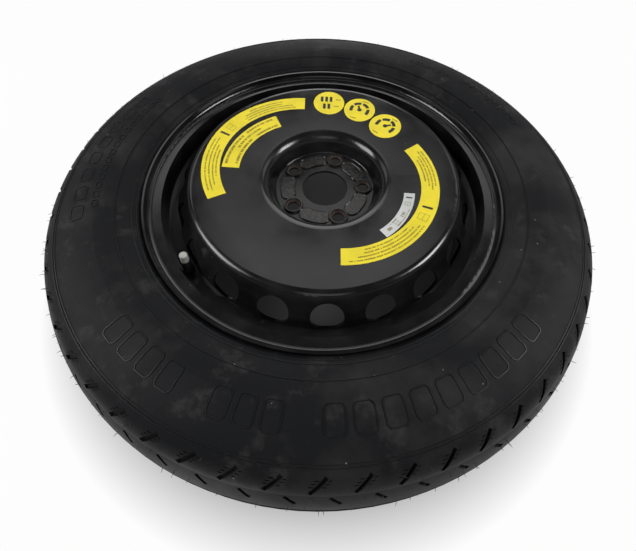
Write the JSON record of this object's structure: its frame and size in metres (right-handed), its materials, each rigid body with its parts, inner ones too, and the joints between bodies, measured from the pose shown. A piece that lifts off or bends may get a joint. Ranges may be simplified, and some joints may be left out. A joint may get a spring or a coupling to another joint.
{
  "type": "space saver spare wheel",
  "caption": "Narrow temporary spare wheel: a black pressed steel disc with round vents in a drop centre rim, a slim tyre, a snap-in valve with a screw cap and yellow labels.",
  "frame": {"origin": "middle of the wheel, on the axle's axis and halfway across the rim and tyre", "axes": "+Z along the axle towards the wheel's outer face, which lies upwards; +X and +Y across the wheel, with the nearest vent of the picture close to -Y"},
  "size_m": [0.7188, 0.7188, 0.157],
  "materials": {
    "tyre": "satin black rubber, a little dusty",
    "black_steel": "gloss black paint, rusty at the bolt seats",
    "rubber": "matt black rubber",
    "brass": "plain brass",
    "spring_steel": "plain steel wire",
    "cap": "pale grey plastic",
    "yellow_film": "yellow film with black print",
    "white_film": "white film with black print"
  },
  "bodies": {
    "wheel": {"tyre": "tyre", "rim": "black_steel", "disc": "black_steel", "weld_beads": "black_steel", "valve_rubber": "rubber", "valve_stem": "brass", "valve_core": "brass", "valve_core_ring": "rubber", "valve_spring": "spring_steel", "label_left_outer": "yellow_film", "label_left_inner": "yellow_film", "label_right": "yellow_film", "label_white": "white_film", "label_roundel_pressure": "yellow_film", "label_roundel_low": "yellow_film", "label_roundel_high": "yellow_film"},
    "valve_pin": {"valve_pin": "brass"},
    "cap_seal": {"valve_cap_seal": "rubber"},
    "cap": {"valve_cap": "cap"}
  },
  "joints": [
    {"name": "valve_pin_press", "type": "slide", "parent": "wheel", "child": "valve_pin", "axis": [-0.055, -0.0429, -0.9976], "range_m": [0, 0.0012], "stiffness_N_per_m": 1500, "deforming": ["valve_spring"]},
    {"name": "cap_lift", "type": "slide", "parent": "wheel", "child": "cap_seal", "axis": [0.055, 0.0429, 0.9976], "range_m": [0, 0.00992]},
    {"name": "cap_turn", "type": "hinge", "parent": "cap_seal", "child": "cap", "pos_m": [-0.16336, -0.12763, 0.02726], "axis": [0.055, 0.0429, 0.9976], "range_deg": [0, 4500]}
  ],
  "couplings": [
    {"joint": "cap_turn", "follows": "cap_lift", "rad_per_m": 7913.3}
  ]
}
